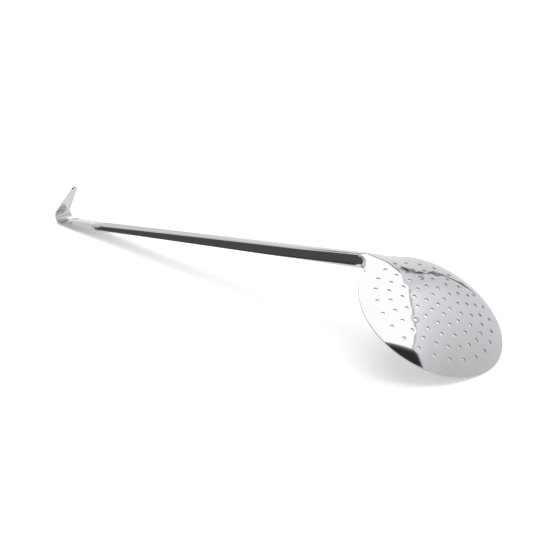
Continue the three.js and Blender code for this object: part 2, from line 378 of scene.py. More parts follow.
def strip_surface(sizes, across, distance):
    """Upper face of the strip. Across runs from -1 at one edge to 1 at the other.

    The line under the strip runs straight along the handle, round the bend on a circle and straight
    along the leaf. The face's section stands on that line, square to it. The edges of the arched
    stretch hang a little below the line, and the crown of the flat one lies in the leaf's plane.
    """
    handle = sizes.handle
    sheet = sizes.bowl.sheet
    onwards = np.array([-math.cos(handle.slope), 0, -math.sin(handle.slope)])
    upwards = np.array([-math.sin(handle.slope), 0, math.cos(handle.slope)])
    bend = handle.hook_radius + sheet
    turned = np.clip((distance - handle.length) / bend, 0, handle.hook_turn)[..., None]
    way = np.cos(turned) * onwards + np.sin(turned) * upwards
    up = np.cos(turned) * upwards - np.sin(turned) * onwards
    start = np.array([-sizes.bowl.rim_diameter / 2, 0, -handle.neck_sink])
    straight = np.minimum(distance, handle.length)[..., None] * onwards
    leaf = np.maximum(distance - leaf_start(sizes), 0)[..., None] * way
    line = start + straight + bend * (upwards - up) + leaf
    sideways, height = strip_section_point(sizes, across, distance)
    arched_edge = sheet * np.cos(arch_angle(sizes, distance)) - handle.arch_drop
    flat_edge = sheet - crown_height(sizes, distance)
    pressed = smooth_step(distance, press_start(sizes), flat_start(sizes))
    lift = mix(arched_edge, flat_edge, pressed) + height
    return line + lift[..., None] * up + sideways[..., None] * np.array([0, 1, 0])


def weld_surface(sizes, across, place):
    """The bowl's surface carried on from its straight edge, at place 0, to the handle, at place 1."""
    x = mix(neck_edge(sizes), handle_start(sizes), place)
    return bowl_surface(sizes, x, across * sizes.handle.neck_width / 2)


def neck_surface(sizes, across, place):
    """Flared neck, from the weld at place 0 to the even strip at place 1.

    A cubic curve joins the two for each point across: it leaves along the bowl's surface, fanned out
    by the flare, and arrives along the strip. Each slope is as long as the curve's chord times a pull
    that goes with the square of across, so that the bowl's slope runs far along the neck's middle and
    folds down into the strip's flanks.
    """
    handle = sizes.handle
    heading = across * handle.neck_flare
    x = np.full_like(across, handle_start(sizes))
    y = across * handle.neck_width / 2
    joint = np.full_like(across, handle.neck_length)
    start = bowl_surface(sizes, x, y)
    end = strip_surface(sizes, across, joint)
    leaving = slope_along(bowl_surface, sizes, x, y, -np.cos(heading), -np.sin(heading))
    arriving = slope_along(strip_surface, sizes, across, joint, 0, 1)
    chord = np.linalg.norm(end - start, axis=-1, keepdims=True)
    outer = across[..., None] ** 2
    leave = chord * leaving * mix(handle.bowl_pull, handle.bowl_pull_at_edge, outer)
    arrive = chord * arriving * mix(handle.strip_pull, handle.strip_pull_at_edge, outer)
    t = place[..., None]
    rest = 1 - t
    return ((1 + 2 * t) * rest ** 2 * start + t * rest ** 2 * leave
            + t ** 2 * (3 - 2 * t) * end - t ** 2 * rest * arrive)


# Sheet edges and grids

def edge_section():
    """Section of a sheet's rolled edge, from the upper face to the lower one.

    Roll is the angle that the normal has turned through, from 0 on the upper face to pi on the lower
    one. The second array is true in the lower quarter circle.
    """
    quarter = np.linspace(0, math.pi / 2, EDGE_STEPS + 1)
    roll = np.concatenate([quarter, math.pi / 2 + quarter])
    return roll, np.arange(roll.size) > EDGE_STEPS


def edge_depth(roll, below, radius, sheet):
    """Depth under the upper face: radius (1 - cos roll) in the upper quarter circle, and the sheet
    less radius (1 + cos roll) in the lower one."""
    return np.where(below, sheet - radius * (1 + np.cos(roll)), radius * (1 - np.cos(roll)))


def grid_quads(rows, columns, closed):
    """Corner numbers of the squares of a grid, whose columns may close on themselves."""
    index = np.arange(rows * columns).reshape(rows, columns)
    if closed:
        index = np.concatenate([index, index[:, :1]], axis=1)
    corners = [index[:-1, :-1], index[:-1, 1:], index[1:, 1:], index[1:, :-1]]
    return np.stack(corners, axis=-1).reshape(-1, 4)


def join_patches(patches):
    """One list of arrays from several patches. The last array of a patch is its squares."""
    counts = [len(patch[0]) for patch in patches]
    firsts = np.concatenate([[0], np.cumsum(counts)[:-1]])
    columns = [np.concatenate(arrays) for arrays in zip(*[patch[:-1] for patch in patches])]
    quads = np.concatenate([patch[-1] + first for patch, first in zip(patches, firsts)])
    return [*columns, quads]


def merge_points(points, quads, *others):
    """Points that lie at the same place become one."""
    keys = np.round(points / SAME_POINT).astype(np.int64)
    _, kept, index = np.unique(keys, axis=0, return_index=True, return_inverse=True)
    return points[kept], index.reshape(-1)[quads], [other[kept] for other in others]


# Bowl blank: plan, depth, lean and roll of each point, patch by patch

def ring_pitch(bowl):
    """Distance between two rings of holes: the radius of the outer ring over the number of rings."""
    return (bowl.rim_diameter / 2 - bowl.hole_margin) / len(RING_COUNTS)


def compass(angles):
    """Unit vectors of the plan at given angles."""
    return np.stack([np.cos(angles), np.sin(angles)], axis=-1)


def hole_patch(bowl, outline, centre, radial, steepness):
    """Cells of the bowl, each with one hole: rows run from the outline to the hole, down its wall
    and back along the lower face.

    Around the hole the rows are circles, squeezed along the dome's fall by 1 / sqrt(1 + slope^2), so
    that the hole is round on the slope. The dimple's depth is a bell curve, depth exp(-(d / width)^2)
    of the distance d from the hole's edge, and the roll there is its slope.
    """
    tangent = np.stack([-radial[..., 1], radial[..., 0]], axis=-1)
    squeeze = 1 / math.sqrt(1 + steepness ** 2)
    away = outline - centre[:, None]
    outwards = (away * radial[:, None]).sum(-1) / squeeze
    asides = (away * tangent[:, None]).sum(-1)
    bearing = np.arctan2(asides, outwards)
    spoke = (np.cos(bearing) * squeeze)[..., None] * radial[:, None]
    spoke = spoke + np.sin(bearing)[..., None] * tangent[:, None]

    roll, below = edge_section()
    bore = bowl.hole_diameter / 2
    collar = bore + bowl.hole_edge + COLLAR
    rolled = bore + bowl.hole_edge * (1 - np.sin(roll))
    circles = np.concatenate([collar[:-1], rolled, collar[-2::-1]])
    rings = centre[:, None, None] + circles[:, None, None] * spoke[:, None]
    midway = (outline + rings[:, 0]) / 2
    face = [outline[:, None], midway[:, None]]
    plan = np.concatenate([*face, rings, *face[::-1]], axis=1)

    bell = np.exp(-(COLLAR[:-1] / bowl.dimple_width) ** 2)
    sink = bowl.dimple * bell
    tilt = np.arctan(2 * COLLAR[:-1] / bowl.dimple_width ** 2 * sink)
    flat = np.zeros(len(face))
    edge = edge_depth(roll, below, bowl.hole_edge, bowl.sheet) + bowl.dimple
    depth = np.concatenate([flat, sink, edge, sink[::-1] + bowl.sheet, flat + bowl.sheet])
    turns = np.concatenate([flat, tilt, roll, math.pi - tilt[::-1], flat + math.pi])
    return blank_patch(plan, depth[None, :, None], -spoke[:, None], turns[None, :, None], True)


def blank_patch(plan, depth, lean, roll, outside_first):
    """Flat arrays and squares of cells whose points have a place, depth, lean and roll each."""
    shape = plan.shape[:-1]
    cells, rows, columns = shape
    quads = grid_quads(rows, columns, True)
    if not outside_first:
        quads = quads[:, ::-1]
    quads = (quads + rows * columns * np.arange(cells)[:, None, None]).reshape(-1, 4)
    return [
        plan.reshape(-1, 2),
        np.broadcast_to(depth, shape).reshape(-1),
        np.broadcast_to(lean, plan.shape).reshape(-1, 2),
        np.broadcast_to(roll, shape).reshape(-1),
        quads,
    ]


def dome_steepness(bowl, radius):
    """Slope of the dome: rise x fullness / rim radius x (radius / rim radius)^(fullness - 1)."""
    rim = bowl.rim_diameter / 2
    return bowl.rise * bowl.fullness / rim * (radius / rim) ** (bowl.fullness - 1)


def middle_patch(bowl):
    """Round cell of the middle hole."""
    angles = 2 * math.pi * np.arange(BOWL_COLUMNS) / BOWL_COLUMNS
    outline = ring_pitch(bowl) / 2 * compass(angles)[None]
    return hole_patch(bowl, outline, np.zeros((1, 2)), np.array([[1.0, 0.0]]), 0)


def ring_patch(bowl, ring):
    """Cells of one ring of holes. Each is a sector of an annulus, bounded by shared bowl columns."""
    count = RING_COUNTS[ring - 1]
    turn = RING_TURNS[ring - 1]
    wide = BOWL_COLUMNS // count
    first = round((turn - 180 / count) * BOWL_COLUMNS / 360)
    arc = np.arange(wide)
    side = np.arange(CELL_SIDE_STEPS)
    column = np.concatenate([arc, np.full(side.size, wide), wide - arc, np.zeros(side.size, int)])
    climb = np.concatenate([np.ones(wide), 1 - side / side.size, np.zeros(wide), side / side.size])
    columns = (first + wide * np.arange(count)[:, None] + column) % BOWL_COLUMNS
    radius = ring_pitch(bowl) * (ring - 0.5 + climb)
    outline = radius[:, None] * compass(2 * math.pi * columns / BOWL_COLUMNS)
    radial = compass(np.radians(turn + 360 * np.arange(count) / count))
    centre = ring_pitch(bowl) * ring * radial
    return hole_patch(bowl, outline, centre, radial, dome_steepness(bowl, ring_pitch(bowl) * ring))


def rim_outline(sizes):
    """Rim of the blank, one point for each bowl column, and the way out of the sheet there.

    The rim is a circle with a straight edge across it. The columns at the neck meet those of the weld
    along that edge, and the others share the rest of the turn evenly.
    """
    rim = sizes.bowl.rim_diameter / 2
    edge = neck_edge(sizes)
    half = NECK_COLUMNS // 2
    across = np.arange(-half, half + 1) / half * (sizes.handle.neck_width / 2 - sizes.handle.edge)
    neck = np.stack([np.full(across.size, edge), -across], axis=-1)
    corner = math.atan2(across[-1], -edge)
    others = BOWL_COLUMNS - NECK_COLUMNS
    turns = np.linspace(math.pi + corner, 3 * math.pi - corner, others + 1)[1:-1]
    reach = np.minimum(rim, edge / np.minimum(np.cos(turns), edge / rim))
    outline = np.concatenate([neck, reach[:, None] * compass(turns)])
    straight = outline[:, 0] < edge + SAME_POINT
    outward = np.where(straight[:, None], np.array([-1.0, 0.0]), unit(outline))
    joined = np.arange(BOWL_COLUMNS) <= NECK_COLUMNS
    first = BOWL_COLUMNS // 2 - half
    return [np.roll(array, first, axis=0) for array in (outline, outward, joined)]


def rim_patch(sizes):
    """Annulus between the outer ring of cells and the rim. Its rows run out along the upper face,
    round the rolled edge and back along the lower face."""
    bowl = sizes.bowl
    outline, outward, joined = rim_outline(sizes)
    angles = 2 * math.pi * np.arange(BOWL_COLUMNS) / BOWL_COLUMNS
    inner = ring_pitch(bowl) * (len(RING_COUNTS) + 0.5) * compass(angles)
    roll, below = edge_section()
    radius = np.where(joined, WELDED_EDGE, bowl.rim_edge)
    edge = outline - ((1 - np.sin(roll))[:, None] * radius)[..., None] * outward
    spread = np.linspace(0, 1, RIM_ROWS + 1)[:-1, None, None]
    face = mix(inner, edge[0], spread)
    plan = np.concatenate([face, edge, face[::-1]])
    flat = np.zeros((RIM_ROWS, BOWL_COLUMNS))
    depth = edge_depth(roll[:, None], below[:, None], radius, bowl.sheet)
    depth = np.concatenate([flat, depth, flat + bowl.sheet])
    turns = np.concatenate([np.zeros(RIM_ROWS), roll, np.full(RIM_ROWS, math.pi)])
    return blank_patch(plan[None], depth[None], outward, turns[None, :, None], False)


def bowl_arrays(sizes):
    """Points, normals, squares and plan of the pressed bowl, and where the punch cut its holes.

    The cut is 1 on the wall of a hole and falls to 0 over its rolled edges.
    """
    patches = [middle_patch(sizes.bowl)]
    patches += [ring_patch(sizes.bowl, ring + 1) for ring in range(len(RING_COUNTS))]
    patches.append(rim_patch(sizes))
    plan, depth, lean, roll, quads = join_patches(patches)
    point, normal, along_x, along_y = surface_frame(bowl_surface, sizes, plan[:, 0], plan[:, 1])
    sideways = unit(lean[:, :1] * along_x + lean[:, 1:] * along_y)
    points = point - depth[:, None] * normal
    normals = np.cos(roll)[:, None] * normal + np.sin(roll)[:, None] * sideways
    rim = sizes.bowl.rim_diameter / 2
    inside = np.linalg.norm(plan, axis=1) < rim - sizes.bowl.hole_margin / 2
    cut = smooth_step(np.sin(roll), CUT_BEGINS, CUT_FULL) * inside
    points, quads, (normals, plan, cut) = merge_points(points, quads, normals, plan, cut)
    return points, normals, quads, plan / (2 * rim) + PLAN_MIDDLE, cut


# Strips

def strip_section():
    """Closed section of a strip, counted from the left edge over the upper face to the right edge and
    back along the lower face: place on the flat, tuck into the edge, roll, side and below.

    A point lies across at flat (1 - s) + tuck s, where s is the edge radius over the half width.
    """
    quarter = np.linspace(0, math.pi / 2, EDGE_STEPS + 1)[1:]
    face = np.linspace(-1, 1, NECK_COLUMNS + 1)
    ones = np.ones(EDGE_STEPS)
    flat = np.concatenate([-ones, face, ones])
    roll = np.concatenate([quarter[::-1], 0 * face, quarter])
    side = np.concatenate([-ones, 0 * face, ones])
    flat = np.concatenate([flat, flat[::-1]])
    side = np.concatenate([side, side[::-1]])
    tuck = side * np.sin(np.concatenate([roll, roll[::-1]]))
    below = np.arange(flat.size) >= roll.size
    roll = np.concatenate([roll, math.pi - roll[::-1]])
    return flat, tuck, roll, side, below


def strip_rows(surface, sizes, rows, half_width):
    """Points and normals of a strip of sheet with rolled edges along a surface, row by row."""
    flat, tuck, roll, side, below = strip_section()
    radius = np.minimum(sizes.handle.edge, half_width)[:, None]
    s = radius / half_width[:, None]
    across = flat * (1 - s) + tuck * s
    point, normal, _, onwards = surface_frame(surface, sizes, across, rows[:, None] + 0 * across)
    sideways = side[:, None] * unit(np.cross(onwards, normal))
    depth = edge_depth(roll, below, radius, sizes.bowl.sheet)
    points = point - depth[..., None] * normal
    return points, np.cos(roll)[:, None] * normal + np.sin(roll)[:, None] * sideways


def strip_quads(rows):
    """Squares of a closed strip, with a ladder of squares across each end."""
    columns = strip_section()[0].size
    body = grid_quads(rows, columns, True)
    rung = np.arange(columns // 2 - 1)
    other = columns - 1 - rung
    ladder = np.stack([rung, other, other - 1, rung + 1], axis=-1)
    return np.concatenate([body, ladder, ladder[:, ::-1] + (rows - 1) * columns])


def weld_arrays(sizes):
    """Points, normals and squares of the weld."""
    rows = np.linspace(0, 1, WELD_ROWS)
    half_width = np.full(rows.size, sizes.handle.neck_width / 2)
    points, normals = strip_rows(weld_surface, sizes, rows, half_width)
    return points.reshape(-1, 3), normals.reshape(-1, 3), strip_quads(rows.size)


def strip_stations(sizes):
    """Distances along the strip at which it has a row of points."""
    handle = sizes.handle
    flat = flat_start(sizes)
    fade = press_start(sizes)
    leaf = leaf_start(sizes)
    half_tip = handle.tip_width / 2
    tip = leaf + handle.leaf_length - half_tip
    return np.concatenate([
        np.linspace(handle.neck_length, fade, ARCH_ROWS, endpoint=False),
        np.linspace(fade, flat, FLATTEN_ROWS, endpoint=False),
        np.linspace(flat, handle.length, FLAT_ROWS, endpoint=False),
        np.linspace(handle.length, leaf, BEND_ROWS, endpoint=False),
        np.linspace(leaf, tip, LEAF_ROWS, endpoint=False),
        tip + half_tip * np.sin(np.linspace(0, math.pi / 2, TIP_ROWS)),
    ])


def handle_arrays(sizes):
    """Points, normals and squares of neck, handle and hook, which are one strip."""
    handle = sizes.handle
    shares = np.linspace(0, 1, NECK_ROWS, endpoint=False)
    neck_half = mix(handle.neck_width / 2, strip_half_width(sizes, handle.neck_length), shares)
    neck = strip_rows(neck_surface, sizes, shares, neck_half)
    stations = strip_stations(sizes)
    strip = strip_rows(strip_surface, sizes, stations, strip_half_width(sizes, stations))
    points, normals = [np.concatenate(pair) for pair in zip(neck, strip)]
    return points.reshape(-1, 3), normals.reshape(-1, 3), strip_quads(len(points))


# Placing the tool on the table

def resting_place(sizes):
    """Tilt about Y and shift that lay the tool on the table, as the CAD model lies.

    The tilt is that of the line which touches both the lower edge of the rim and the outside of the
    bend. The shift puts the table at height 0 and the middle of the tool's length at x = 0.
    """
    sheet = sizes.bowl.sheet
    plan = sizes.bowl.rim_diameter / 2 * compass(np.linspace(-RIM_TURN, RIM_TURN, RIM_POINTS))
    edge, normal, _, _ = surface_frame(bowl_surface, sizes, plan[:, 0], plan[:, 1])
    rim_under = edge - sheet * normal
    distance = np.linspace(sizes.handle.length, leaf_start(sizes), BEND_POINTS)
    face, normal, _, _ = surface_frame(strip_surface, sizes, 0 * distance, distance)
    bend = face - sheet * normal
    tilt = sizes.handle.slope
    for _ in range(SETTLING_ROUNDS):
        lowest = [line[np.argmin(turn_points(line, tilt)[:, 2])] for line in (rim_under, bend)]
        tilt = math.atan2(lowest[0][2] - lowest[1][2], lowest[0][0] - lowest[1][0])
    placed = turn_points(np.concatenate([edge, rim_under, bend]), tilt)
    middle = (placed[:, 0].min() + placed[:, 0].max()) / 2
    return tilt, np.array([-middle, 0, -placed[:, 2].min()])


def turn_points(points, tilt):
    """Points or vectors turned about Y: x' = x cos + z sin, z' = z cos - x sin."""
    x, y, z = points[..., 0], points[..., 1], points[..., 2]
    turned = [x * math.cos(tilt) + z * math.sin(tilt), y, z * math.cos(tilt) - x * math.sin(tilt)]
    return np.stack(turned, axis=-1)


def new_piece(name, arrays, material, plan=None, cut=None):
    """Mesh object of a piece, laid on the table, with its own normals.

    The bowl also has its plan as UV and its cut walls as an attribute.
    """
    tilt, shift = resting_place(bpy.context.scene.skimmer)
    points, normals, quads = arrays
    mesh = bpy.data.meshes.new(name)
    mesh.from_pydata((turn_points(points, tilt) + shift).tolist(), [], quads.tolist())
    mesh.shade_smooth()
    if plan is not None:
        uv = mesh.uv_layers.new(name=PLAN_MAP)
        uv.data.foreach_set("uv", plan[quads.reshape(-1)].astype(np.float32).reshape(-1))
    if cut is not None:
        mark = mesh.attributes.new(CUT_MARK, "FLOAT", "POINT")
        mark.data.foreach_set("value", cut.astype(np.float32))
    mesh.normals_split_custom_set_from_vertices(turn_points(normals, tilt).tolist())
    mesh.materials.append(material)
    piece = bpy.data.objects.new(name, mesh)
    bpy.context.scene.collection.objects.link(piece)
    return piece


def carry(piece, node):
    """The piece stands for a CAD node, whose part it hides, and rides on the tool's one body."""
    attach(piece, "root")
    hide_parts(node)


# Nodes

# Sockets of a Mix node for colours: its mask and its two colours, and its result
MIX_INPUTS = (0, 6, 7)
MIX_RESULT = 2

# Inputs of the shared groups
VECTOR_INPUT = ("Vector", "NodeSocketVector")
SCALE_INPUT = ("Scale", "NodeSocketFloat")


def add_node(tree, kind, inputs=(), **settings):
    """A node with some settings, whose first inputs are sockets to link or values to set."""
    node = tree.nodes.new(kind)
    for name, value in settings.items():
        setattr(node, name, value)
    for socket, value in zip(node.inputs, inputs):
        connect(tree, socket, value)
    return node


def connect(tree, socket, value):
    """Links an input to another socket, or sets it to a plain value. None leaves it as it is."""
    if isinstance(value, bpy.types.NodeSocket):
        tree.links.new(value, socket)
    elif value is not None:
        socket.default_value = value


def calculate(tree, operation, *values):
    """Result of a Math node."""
    return add_node(tree, "ShaderNodeMath", values, operation=operation).outputs[0]


def vector_math(tree, operation, *vectors):
    """Outputs of a Vector Math node: a Vector and a Value."""
    return add_node(tree, "ShaderNodeVectorMath", vectors, operation=operation).outputs


def scaled(tree, tint, strength):
    """Colour times a strength."""
    node = add_node(tree, "ShaderNodeVectorMath", (tint,), operation="SCALE")
    connect(tree, node.inputs["Scale"], strength)
    return node.outputs["Vector"]


def grey(brightness):
    """Plain grey of a brightness, as a colour with its alpha."""
    return brightness, brightness, brightness, 1


def blend_colours(tree, mask, low, high):
    """Colour that is low where the mask is 0 and high where it is 1."""
    node = add_node(tree, "ShaderNodeMix", (), data_type="RGBA")
    for index, value in zip(MIX_INPUTS, (mask, low, high)):
        connect(tree, node.inputs[index], value)
    return node.outputs[MIX_RESULT]


def soft_step(tree, value, edge, soft):
    """Smooth step of a value from 0 to 1 around an edge."""
    node = add_node(tree, "ShaderNodeMapRange", (value, edge - soft, edge + soft), clamp=True)
    node.interpolation_type = "SMOOTHSTEP"
    return node.outputs[0]


def noise(tree, vector, scale, detail):
    """Value of a noise texture, which varies around a half."""
    node = add_node(tree, "ShaderNodeTexNoise", (vector,))
    connect(tree, node.inputs["Scale"], scale)
    connect(tree, node.inputs["Detail"], detail)
    return node.outputs[0]


def shared_group(name, inputs, output, fill):
    """Node group that is built once. Fill makes its one value from its named inputs."""
    if name in bpy.data.node_groups:
        return bpy.data.node_groups[name]
    tree = bpy.data.node_groups.new(name, "ShaderNodeTree")
    for label, kind in inputs:
        tree.interface.new_socket(label, in_out="INPUT", socket_type=kind)
    tree.interface.new_socket(output, in_out="OUTPUT", socket_type="NodeSocketFloat")
    entry = tree.nodes.new("NodeGroupInput")
    leave = tree.nodes.new("NodeGroupOutput")
    value = fill(tree, *[entry.outputs[label] for label, _ in inputs])
    connect(tree, leave.inputs[output], value)
    return tree


def use_group(tree, group, *inputs):
    """Value that a group gives in a material's tree."""
    node = tree.nodes.new("ShaderNodeGroup")
    node.node_tree = group
    for socket, value in zip(node.inputs, inputs):
        connect(tree, socket, value)
    return node.outputs[0]


# Finish of the steel

# Waves: detail of the large and of the small ones, and how much finer and how high the small ones are
LARGE_WAVE_DETAIL = 1
SMALL_WAVE_DETAIL = 2
SMALL_WAVE_FINENESS = 3.1
SMALL_WAVE_HEIGHT = 0.18

# Lines: their detail, and how many there are per metre along the handle, across it and through it
LINE_DETAIL = 3
HANDLE_LINES = (40, 2600, 2600)

# Lines on the bowl: how many there are over its width, and how quickly they change around it
BOWL_LINES = 300
BOWL_LINE_DRIFT = 9

# Haze: clouds per metre, detail, level at which it shows and softness there, and how it dims the steel
HAZE_SCALE = 38
HAZE_DETAIL = 5
HAZE_LEVEL = 0.55
HAZE_SOFTNESS = 0.15
FILM_SHADE = 0.97
FILM_COVER = 0.5


def polish_waves_group():
    """Slow waves that hand polishing leaves in a mirror finish: two sizes of noise added up."""
    def waves(tree, vector, scale):
        large = noise(tree, vector, scale, LARGE_WAVE_DETAIL)
        finer = calculate(tree, "MULTIPLY", scale, SMALL_WAVE_FINENESS)
        small = noise(tree, vector, finer, SMALL_WAVE_DETAIL)
        return calculate(tree, "MULTIPLY_ADD", small, SMALL_WAVE_HEIGHT, large)
    return shared_group("Polish waves", (VECTOR_INPUT, SCALE_INPUT), "Height", waves)


def polish_lines_group():
    """Fine lines left by the polishing wheel: noise in coordinates that are drawn out along them."""
    def lines(tree, vector):
        return noise(tree, vector, 1, LINE_DETAIL)
    return shared_group("Polish lines", (VECTOR_INPUT,), "Lines", lines)


def handling_haze_group():
    """Faint cloudy film from handling: the high parts of a noise, as a mask between 0 and 1."""
    def haze(tree, vector, scale):
        cloud = noise(tree, vector, scale, HAZE_DETAIL)
        return soft_step(tree, cloud, HAZE_LEVEL, HAZE_SOFTNESS)
    return shared_group("Handling haze", (VECTOR_INPUT, SCALE_INPUT), "Haze", haze)


def polished_steel(name, tint, line_vector, with_cuts=False):
    """Mirror-polished steel: slow waves and fine lines in its height, haze and lines in its roughness.

    line_vector makes the coordinates of the polishing lines inside the material's tree. Where the
    piece has cut walls, these are duller, and their colour is painted darker as shade inside the holes.
    """
    steel = bpy.context.scene.skimmer.steel
    material = bpy.data.materials.new(name)
    material.use_nodes = True
    tree = material.node_tree
    shader = tree.nodes["Principled BSDF"]
    shader.inputs["Metallic"].default_value = 1
    place = add_node(tree, "ShaderNodeTexCoord").outputs["Object"]
    waves = use_group(tree, polish_waves_group(), place, 1 / steel.wave_size)
    lines = use_group(tree, polish_lines_group(), line_vector(tree))
    haze = use_group(tree, handling_haze_group(), place, HAZE_SCALE)

    rough = calculate(tree, "MULTIPLY_ADD", lines, steel.line_roughness, steel.roughness)
    rough = calculate(tree, "MULTIPLY_ADD", haze, steel.haze_roughness, rough)
    film = [part * FILM_SHADE for part in tint]
    cover = calculate(tree, "MULTIPLY", haze, FILM_COVER)
    shade = blend_colours(tree, cover, (*tint, 1), (*film, 1))
    # Cut walls of the holes: really rougher, and their darker colour is painted shade inside the holes
    if with_cuts:
        cut = add_node(tree, "ShaderNodeAttribute", attribute_name=CUT_MARK).outputs["Fac"]
        rough = calculate(tree, "MULTIPLY_ADD", cut, steel.cut_roughness, rough)
        shade = blend_colours(tree, cut, shade, (*steel.hole_shade_colour, 1))
    connect(tree, shader.inputs["Roughness"], rough)
    connect(tree, shader.inputs["Base Color"], shade)

    height = calculate(tree, "MULTIPLY", waves, steel.wave_height)
    height = calculate(tree, "MULTIPLY_ADD", lines, steel.line_height, height)
    bump = add_node(tree, "ShaderNodeBump")
    bump.inputs["Strength"].default_value = 1
    bump.inputs["Distance"].default_value = 1
    connect(tree, bump.inputs["Height"], height)
    connect(tree, shader.inputs["Normal"], bump.outputs[0])
    return material


def lines_along_handle(tree):
    """Lines that run along the tool: object coordinates drawn out along X."""
    place = add_node(tree, "ShaderNodeTexCoord").outputs["Object"]
    mapping = add_node(tree, "ShaderNodeMapping", (place,))
    mapping.inputs["Scale"].default_value = HANDLE_LINES
    return mapping.outputs[0]


def lines_round_bowl(tree):
    """Rings around the bowl's axis: the plan's distance from the middle, many times over, and a
    slow change with the plan itself."""
    plan = add_node(tree, "ShaderNodeUVMap", uv_map=PLAN_MAP).outputs[0]
    middle = (PLAN_MIDDLE, PLAN_MIDDLE, 0)
    drift = (BOWL_LINE_DRIFT, BOWL_LINE_DRIFT, 0)
    away = vector_math(tree, "SUBTRACT", plan, middle)["Vector"]
    radius = vector_math(tree, "LENGTH", away)["Value"]
    slow = vector_math(tree, "MULTIPLY", away, drift)["Vector"]
    parts = add_node(tree, "ShaderNodeSeparateXYZ", (slow,)).outputs
    rings = calculate(tree, "MULTIPLY", radius, BOWL_LINES)
    return add_node(tree, "ShaderNodeCombineXYZ", (parts[0], parts[1], rings)).outputs[0]


# Studio

# Width of the camera's sensor in millimetres, and the end of its view in metres
SENSOR_WIDTH = 36
VIEW_END = 50

# Count of diffuse bounces under which there has been none
NO_BOUNCE = 0.5

# Directions, and planes that bound the softbox and its frame, by parts to the right, ahead and up
RIGHT = (1, 0, 0)
AHEAD = (0, 1, 0)
UP = (0, 0, 1)
BOX_NEAR = (0, 1, 0.24)
BOX_LEFT = (1, 0, 0.56)
BOX_RIGHT = (-1, 0, 0.55)
BOX_FAR_LEFT = (1.5, -1, 2.19)
BOX_FAR_MIDDLE = (-0.5, -1, 1.025)
BOX_FAR_RIGHT = (-2.65, -1, 1.83)
FRAME_RIGHT = (-1, 0, 0.53)

# Planes that bound the dark flags: on the left, overhead, and beside the softbox
FLAGS_FAR = (-1, -0.824, 0)
FLAGS_NEAR = (-1, 0.5, 0)
TOP_FLAG_NEAR = (0, 0.9, 0.6)
BOX_FLAG_FOOT = (1.05, -1, 1.81)

# Planes that bound the grey panel, three along its left edge from its foot up, and the low horizon
PANEL_FOOT = (1, -0.557, 0.15)
PANEL_MIDDLE = (1, -0.2587, -0.43)
PANEL_HEAD = (1, -0.6, 0)
PANEL_TOP = (1.5, 1, -0.643)
HORIZON_RIGHT = (-1, -0.15, 0)

# Widths of the frame, the rail and the gap, and softness of edges, as sines of angles
FRAME_WIDTH = 0.05
RAIL_WIDTH = 0.021
GAP_WIDTH = 0.027
PLAIN_EDGE = 0.01
BOX_EDGE = 0.006
BACKDROP_EDGE = 0.02
FLAGS_EDGE = 0.04
TOP_FLAG_EDGE = 0.05

# Lower and upper ends of the horizon and of the gap: sine of the height and softness of each
HORIZON_ENDS = ((0.08, 0.04), (0.34, 0.06))
GAP_ENDS = ((0.05, 0.05), (0.6, 0.06))

# Reach of the softbox's glow on the panel, the bearing in degrees where it sets in, and its softness
GLOW_REACH = 0.22
GLOW_BEARING = 38
GLOW_SOFTNESS = 8

# Loss of brightness per degree of bearing on the panel and the backdrop, and the backdrop's even part
PANEL_FALL = 0.0027
BACKDROP_FALL = 0.011
BACKDROP_EVEN = 8

# Tints of the panels
PANEL_TINT = (0.99, 0.99, 1.02)
BACKDROP_TINT = (1, 1, 1.004)
SOFTBOX_TINT = (1, 1, 0.985)


def camera_axes(stage):
    """Level directions to the right of the view and ahead of it, as seen from above."""
    turn = stage.camera_azimuth
    return Vector((math.cos(turn), math.sin(turn), 0)), Vector((-math.sin(turn), math.cos(turn), 0))


def add_camera(stage):
    """Camera at the photograph's place: a point on the table, less the distance along the view."""
    _, ahead = camera_axes(stage)
    view = ahead * math.cos(stage.camera_elevation) - Vector((0, 0, math.sin(stage.camera_elevation)))
    data = bpy.data.cameras.new("Camera")
    data.lens = stage.camera_lens
    data.sensor_width = SENSOR_WIDTH
    data.clip_end = VIEW_END
    camera = bpy.data.objects.new("Camera", data)
    camera.location = Vector((stage.target_x, stage.target_y, 0)) - stage.camera_distance * view
    camera.rotation_euler = view.to_track_quat("-Z", "Y").to_euler()
    bpy.context.scene.collection.objects.link(camera)
    bpy.context.scene.camera = camera


def floor_material(stage):
    """White table. It is matt, and where the camera sees it, it is exposed and lifted until it is plain
    white outside the shadows. Where the steel mirrors it and nothing matt lies between, it glows."""
    material = bpy.data.materials.new("White table")
    material.use_nodes = True
    tree = material.node_tree
    tree.nodes.remove(tree.nodes["Principled BSDF"])
    ray = add_node(tree, "ShaderNodeLightPath").outputs
    gain = calculate(tree, "MULTIPLY_ADD", ray["Is Camera Ray"], stage.floor_gain - 1, 1)
    matt = add_node(tree, "ShaderNodeBsdfDiffuse", (scaled(tree, stage.floor_colour, gain),))
    seen = calculate(tree, "MULTIPLY", ray["Is Camera Ray"], stage.floor_lift)
    direct = calculate(tree, "LESS_THAN", ray["Diffuse Depth"], NO_BOUNCE)
    mirrored = calculate(tree, "MULTIPLY", ray["Is Glossy Ray"], direct)
    strength = calculate(tree, "MULTIPLY_ADD", mirrored, stage.floor_glow, seen)
    lift = add_node(tree, "ShaderNodeEmission")
    connect(tree, lift.inputs["Strength"], strength)
    both = add_node(tree, "ShaderNodeAddShader", (matt.outputs[0], lift.outputs[0]))
    connect(tree, tree.nodes["Material Output"].inputs["Surface"], both.outputs[0])
    return material


def add_floor(stage):
    """Square table at height 0."""
    half = stage.floor_size / 2
    corners = [(-half, -half, 0), (half, -half, 0), (half, half, 0), (-half, half, 0)]
    mesh = bpy.data.meshes.new("table")
    mesh.from_pydata(corners, [], [(0, 1, 2, 3)])
    mesh.materials.append(floor_material(stage))
    floor = bpy.data.objects.new("table", mesh)
    bpy.context.scene.collection.objects.link(floor)


